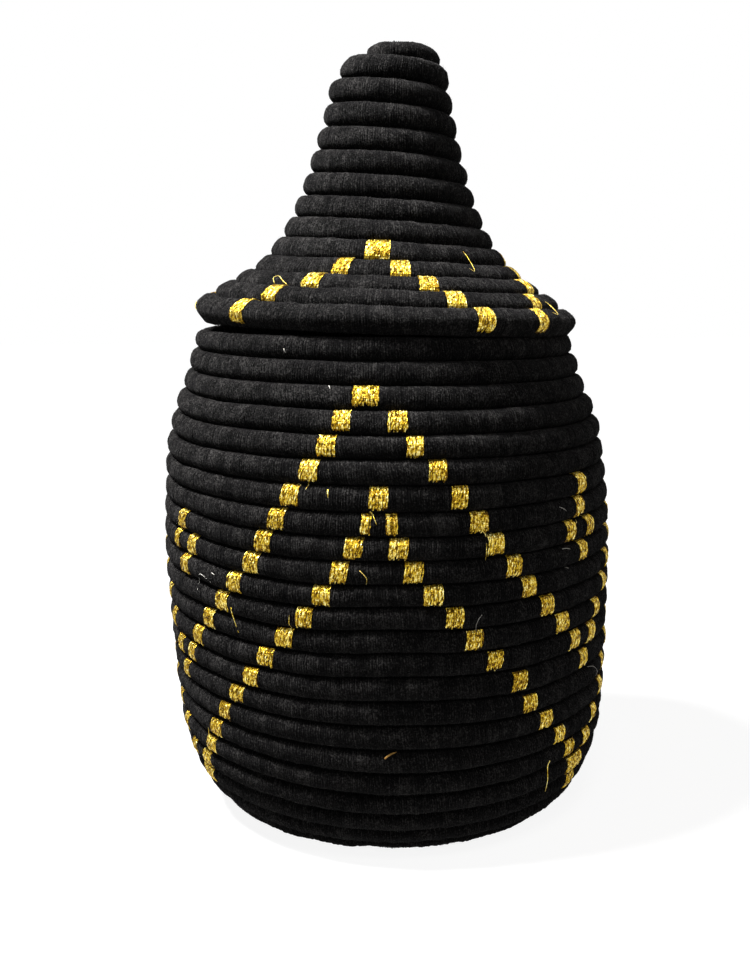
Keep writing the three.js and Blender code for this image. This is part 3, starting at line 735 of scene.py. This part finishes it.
def wall_sets():
    """The squares of each wall motif, by the name of the CAD node that they stand for."""
    rng = np.random.default_rng(3)
    motifs = {}

    def stepped(middle, step, count, bend=0.0):
        return [middle + step * (i + 1) + rng.normal(0, 0.45) + bend * i / count
                for i in range(count)]

    outer = {
        1: leg(OUTER_COURSE, stepped(-110, OUTER_STEP, 11))
           + leg(OUTER_COURSE, stepped(-110, -OUTER_STEP, 12)),
        2: leg(OUTER_COURSE, OUTER_LEFT) + leg(OUTER_COURSE, OUTER_RIGHT),
        3: leg(OUTER_COURSE, stepped(124, OUTER_STEP, 13))
           + leg(OUTER_COURSE, stepped(124, -OUTER_STEP, 12, -2.5)),
    }
    inner = {
        1: leg(INNER_COURSE, stepped(-112, INNER_STEP, 13, 2.5))
           + leg(INNER_COURSE, stepped(-112, -INNER_STEP, 14)),
        2: leg(INNER_COURSE, INNER_LEFT) + leg(INNER_COURSE, INNER_RIGHT),
        3: leg(INNER_COURSE, stepped(122, INNER_STEP, 14))
           + leg(INNER_COURSE, stepped(122, -INNER_STEP, 14, -2.0)),
    }
    for index, middle in ((1, -112.0), (2, 2.0), (3, 122.0)):
        for square in inner[index]:
            if square.course == INNER_COURSE:
                square.width = 5.6
        for square in outer[index] + inner[index]:
            square.width *= 1 + rng.normal(0, 0.05)
            square.lean += rng.normal(0, 0.05)
        motifs[f"gold_outer_chevron_{index}"] = [Square(3, middle + 2.7, 14.7, 0.05)] + outer[index]
        motifs[f"gold_inner_chevron_{index}"] = [Square(7, middle, 9.6)] + inner[index]
    motifs["gold_diamond_1"] = [Square(7, -54.1), Square(8, -53.1), Square(9, -48.5, 9.0),
                                Square(9, -57.6, 9.0), Square(10, -53.9)]
    motifs["gold_diamond_2"] = [Square(9, 59.7, 10.5), Square(10, 62.9, 8.5),
                                Square(10, 54.4, 9.0), Square(11, 58.2)]
    motifs["gold_diamond_3"] = [Square(7, 185.0), Square(8, 185.4), Square(9, 180.7, 9.0),
                                Square(9, 189.3, 9.2), Square(10, 184.8)]
    return motifs


LID_FRONT = [-17.8, -26.7, -38.0, -45.1], [6.2, 15.5, 22.2, 28.8]
LID_RIGHT = [78.5, 66.0, 56.0, 50.5], [98.6, 106.5, 115.4, 123.3]
LID_BACK = [-140.5, -150.3, -161.2, -171.0], [-121.4, -113.5, -104.7, -96.6]


def lid_sets():
    """The squares of each lid motif, by the name of the CAD node that they stand for."""
    rng = np.random.default_rng(4)
    motifs = {}
    for index, apex, legs in ((1, -130.0, LID_BACK), (2, -3.9, LID_FRONT), (3, 90.0, LID_RIGHT)):
        squares = [Square(10, apex, 14.0, 0.06)]
        for square in leg(11, legs[0]) + leg(11, legs[1]):
            square.width = 10.6 + rng.normal(0, 0.6)
            square.lean = 0.14 + rng.normal(0, 0.06)
            squares.append(square)
        motifs[f"gold_lid_chevron_{index}"] = squares
    return motifs


def covered(coil, motifs):
    """A test for the turns of a rope that lie under gold squares."""
    spans = []
    for square in sum(motifs.values(), []):
        turns = coil.turns(square.course, square.angle)
        half = (square.width / 2 + 0.1) / (2 * np.pi * coil.ridge_radius(turns))
        spans.append((turns - half, turns + half))

    def test(turns):
        inside = np.zeros(turns.shape, bool)
        for low, high in spans:
            inside |= (turns > low) & (turns < high)
        return inside

    return test


def between(rows, low, high):
    """Rows from low to high turns, with one row more at the end so that pieces meet."""
    first, last = np.searchsorted(rows["turns"], (low - 1e-9, high - 1e-9))
    return np.arange(first, min(last + 1, len(rows["turns"])))


def thin_end(past):
    """The scale of a rope that thins out over a tenth of a turn, at its end."""
    return 1 - 0.72 * ease(past / 0.1)


# The wall and floor
# Each coil begins this share of its pitch from its axis, where the knot ends. The heel is where
# the wall's last course runs on into the floor.
COIL_START = 0.42
wall_motifs = wall_sets()
wall_gold = covered(wall, wall_motifs)
heel = 0.5 - WALL_COURSES
floor_start = -(wall.first_arc - COIL_START * wall.pitch) / wall.pitch
wall_rows = yarns(wall, heel, 0.5, width=1.38, seed=101)
floor_rows = yarns(wall, floor_start, heel, width=2.1, seed=102)


def wall_taper(turns):
    """The rim thins out at its end."""
    return thin_end(turns - 0.4)


def floor_taper(turns):
    """The floor's rope grows from half its size at the knot."""
    return 0.5 + 0.5 * ease((turns - floor_start) / 0.7)


dress(wool_piece("wool_base_coil", wall, floor_rows, between(floor_rows, floor_start, 0), floor_taper),
      WOOL, "black_wool", "basket", "base_coil")
dress(knot_piece("wool_base_knot", "base_knot"), WOOL, "black_wool", "basket", "base_knot")
for course in range(1, WALL_COURSES + 1):
    node = f"wall_course_{course:02d}"
    pick = between(wall_rows, 0.5 - course, 1.5 - course)
    piece = wool_piece("wool_" + node, wall, wall_rows, pick, wall_taper, wall_gold)
    dress(piece, WOOL, "black_wool", "basket", node)
for number, (node, squares) in enumerate(wall_motifs.items()):
    piece = gold_piece("spun_" + node, wall, squares, seed=300 + number)
    dress(piece, GOLD, "gold_thread", "basket", node)

# The lid and its collar
lid_motifs = lid_sets()
lid_gold = covered(lid, lid_motifs)
tip_start = (COIL_START * lid.pitch - lid.first_arc) / lid.pitch
lid_rows = yarns(lid, tip_start, LID_COURSES - 0.5, width=1.36, seed=103)


def lid_taper(turns):
    """The lid's rope grows over its first turn, and the brim thins out at its end."""
    tip = 0.55 + 0.15 * ease((turns - tip_start) / 0.2) + 0.3 * ease((turns + 0.3) / 0.32)
    return tip * thin_end(turns - LID_COURSES + 0.6)


dress(wool_piece("wool_lid_tip", lid, lid_rows, between(lid_rows, tip_start, 0.5), lid_taper),
      WOOL, "black_wool", "lid", "lid_tip_coil")
dress(knot_piece("wool_lid_knot", "lid_tip_knot"), WOOL, "black_wool", "lid", "lid_tip_knot")
for course in range(2, LID_COURSES + 1):
    node = f"lid_course_{course:02d}"
    pick = between(lid_rows, course - 1.5, course - 0.5)
    piece = wool_piece("wool_" + node, lid, lid_rows, pick, lid_taper, lid_gold)
    dress(piece, WOOL, "black_wool", "lid", node)
for number, (node, squares) in enumerate(lid_motifs.items()):
    piece = gold_piece("spun_" + node, lid, squares, seed=400 + number)
    dress(piece, GOLD, "gold_thread", "lid", node)

collar_rows = yarns(collar, -0.5, 1.5, width=1.6, seed=104)


def collar_taper(turns):
    """The collar thins out at its end."""
    return thin_end(turns - 1.4)


dress(wool_piece("wool_lid_collar", collar, collar_rows, between(collar_rows, -0.5, 1.5), collar_taper),
      WOOL, "black_wool", "lid", "lid_locating_collar")


# Loose ends and fuzz, where the ropes carry them
WALL_GOLD_ENDS = [
    End(0.3, (7, 3.9, -52, 0.3), (8, 3.5, 56, 0.5), (8, 3.0, 32, 0.7), (8, 2.5, 8, 0.3)),
    End(0.24, (8, -21.4, -30, 0.2), (9, -22.5, 48, 0.5), (9, -22.0, -16, 0.9), (10, -22.2, 48, 0.4)),
    End(0.3, (12, 39.5, -8, 0.2), (12, 39.6, -40, 0.6), (13, 39.3, 40, 0.7), (13, 37.8, -16, 0.3)),
    End(0.26, (12, 23.0, 12, 0.2), (12, 23.2, -24, 0.5), (12, 23.4, -60, 0.6), (13, 23.5, 40, 0.3)),
    End(0.22, (10, 6.4, 20, 0.2), (10, 5.0, -8, 0.7), (10, 5.2, -48, 0.3)),
    End(0.28, (6, 18.0, -36, 0.3), (6, 18.2, -60, 0.5), (7, 18.5, 32, 0.3)),
    End(0.42, (7, 13.3, 36, 0.2), (7, 13.2, 20, 0.5), (7, 13.1, 4, 0.2)),
    End(0.3, (19, -42.4, -4, 0.2), (19, -42.2, -30, 0.5), (20, -42.5, 8, 0.5), (21, -44.4, 30, 0.3)),
    End(0.22, (18, 53.2, -4, 0.2), (18, 53.5, -26, 0.5), (19, 54.6, 32, 0.3)),
    End(0.2, (9, -52.2, 52, 0.2), (9, -51.0, 34, 0.6), (9, -49.4, 30, 0.3)),
]
WALL_PALE_ENDS = [
    End(0.16, (12, -20.8, 14, 0.1), (12, -19.9, -6, 0.5), (12, -19.4, -30, 0.8), (13, -19.6, 44, 0.2)),
    End(0.22, (8, -44.4, 22, 0.1), (8, -45.6, 10, 0.5), (8, -47.0, -4, 0.1)),
    End(0.22, (10, -45.3, 42, 0.1), (10, -46.6, 38, 0.5), (10, -48.0, 32, 0.1)),
    End(0.14, (16, -59.8, 50, 0.1), (16, -62.2, 36, 0.8), (16, -64.0, 8, 0.9), (16, -64.6, -20, 0.1)),
    End(0.14, (11, 46.4, -30, 0.1), (11, 50.0, -6, 0.6), (12, 52.2, 44, 0.4), (12, 52.0, 12, 0.1)),
    End(0.26, (1, 27.7, -16, 0.1), (1, 27.4, -24, 0.3), (1, 27.2, -32, 0.1)),
    End(0.26, (3, 14.3, 46, 0.1), (3, 14.0, 38, 0.3), (3, 13.8, 28, 0.1)),
    End(0.2, (4, 8.3, 30, 0.1), (4, 8.2, 24, 0.3), (4, 8.0, 16, 0.1)),
    End(0.26, (11, 45.4, 16, 0.1), (11, 45.0, 14, 0.3), (11, 44.5, 12, 0.1)),
    End(0.2, (11, -47.3, 58, 0.1), (11, -47.6, 52, 0.3), (11, -48.0, 46, 0.1)),
]
WALL_STRAW_ENDS = [
    End(0.55, (18, 2.2, 30, 0.2), (18, 1.4, 40, 0.5), (18, 0.4, 50, 0.5), (18, -0.6, 58, 0.2)),
]
LID_GOLD_ENDS = [
    End(0.3, (12, -44.0, 0, 0.2), (12, -41.2, 18, 1.0), (12, -38.4, 38, 1.0), (12, -36.6, 50, 0.2)),
    End(0.16, (12, -43.0, 48, 0.1), (12, -44.8, 20, 0.8), (12, -44.2, 0, 0.3)),
    End(0.3, (13, 63.6, 14, 0.2), (13, 65.2, 40, 0.8), (14, 60.0, 10, 0.8), (14, 58.0, -12, 0.2)),
    End(0.16, (10, 38.8, -24, 0.1), (10, 39.8, 24, 0.8), (11, 38.6, 20, 0.9), (11, 37.3, -4, 0.1)),
    End(0.3, (14, -86.0, 30, 0.2), (14, -84.0, 44, 0.6), (14, -80.0, 56, 0.2)),
]
dress(loose_piece("loose_gold_ends", wall, WALL_GOLD_ENDS), GOLD, "gold_thread", "basket")
dress(loose_piece("loose_pale_fibres", wall, WALL_PALE_ENDS), PALE, "black_wool", "basket")
dress(loose_piece("loose_straw_end", wall, WALL_STRAW_ENDS), STRAW, "black_wool", "basket")
dress(loose_piece("loose_lid_gold_ends", lid, LID_GOLD_ENDS), GOLD, "gold_thread", "lid")
BASKET_FIBRES, LID_FIBRES = 15500, 12500
for number, low, high in ((1, -22.5, -15.0), (2, -15.0, -7.5), (3, -7.5, 0.35)):
    piece = fuzz_piece(f"wool_fuzz_basket_{number}", wall, low, high, BASKET_FIBRES, seed=20 + number)
    dress(piece, FUZZ, "black_wool", "basket")
for number, low, high in ((1, 0.1, 9.0), (2, 9.0, 13.3)):
    piece = fuzz_piece(f"wool_fuzz_lid_{number}", lid, low, high, LID_FIBRES, seed=30 + number)
    dress(piece, FUZZ, "black_wool", "lid")


# Floor, light and world
WHITE = (1.0, 1.0, 1.0, 1.0)
FLOOR_GREY = (0.25, 0.25, 0.25, 1.0)
FLOOR_SPAN = 6.0


def seen_rays(n):
    """1 for the rays that show a surface itself, 0 for those that gather light from it."""
    path = n.add("LightPath")
    seen = n.math("ADD", path.outputs["Is Camera Ray"], path.outputs["Is Glossy Ray"], True)
    return n.math("ADD", seen, path.outputs["Is Transmission Ray"], True)


def make_floor():
    """A floor that keeps the object's shadow and looks white, a little less so near the object."""
    n = Nodes(bpy.data.materials.new("pale_floor"))
    away = n.add("VectorMath", {"operation": "LENGTH"})
    n.link(n.add("TexCoord").outputs["Object"], away.inputs[0])
    level = n.add("MapRange", {"From Min": 0.3, "From Max": 1.1, "To Min": 0.9, "To Max": 1.0},
                  Value=away.outputs["Value"])
    strength = n.math("MULTIPLY", seen_rays(n), level.outputs["Result"])
    both = n.add("AddShader")
    n.link(n.add("BsdfDiffuse", {"Color": FLOOR_GREY}).outputs[0], both.inputs[0])
    n.link(n.add("Emission", {"Color": WHITE}, Strength=strength).outputs[0], both.inputs[1])
    n.show(both)
    corners = [[x * FLOOR_SPAN, y * FLOOR_SPAN, 0.0] for x, y in ((-1, -1), (1, -1), (1, 1), (-1, 1))]
    floor = make_mesh("floor", corners, [[0, 1, 2, 3]])
    floor.data.materials.append(n.owner)


def make_light(name, place, aim, size, energy, colour=(1.0, 1.0, 1.0), spread=180.0):
    """A round lamp that faces its aim, in metres, watts and degrees."""
    data = bpy.data.lights.new(name, "AREA")
    data.shape, data.size, data.energy, data.color = "DISK", size, energy, colour
    data.spread = math.radians(spread)
    light = bpy.data.objects.new(name, data)
    bpy.context.scene.collection.objects.link(light)
    light.location = place
    light.rotation_mode = "QUATERNION"
    light.rotation_quaternion = (Vector(aim) - Vector(place)).to_track_quat("-Z", "Y")


def make_world():
    """A white backdrop that lights the scene only a little."""
    world = bpy.data.worlds.new("studio")
    bpy.context.scene.world = world
    n = Nodes(world, "OutputWorld")
    level = n.add("MapRange", {"To Min": 0.03, "To Max": 1.0}, Value=seen_rays(n))
    n.show(n.add("Background", {"Color": WHITE}, Strength=level.outputs["Result"]))


make_floor()
make_light("key", (-0.62, -0.2, 1.42), aim=(-0.06, -0.03, 0.36), size=0.36, energy=12, spread=80.0)
make_light("rim", (1.3, 0.3, 0.9), aim=(0, 0, 0.25), size=0.8, energy=1.7, colour=(1.0, 0.93, 0.85))
make_light("front", (0.1, -1.0, 1.55), aim=(0, 0, 0.25), size=0.5, energy=5)
make_world()
bpy.context.scene.view_settings.view_transform = "Standard"
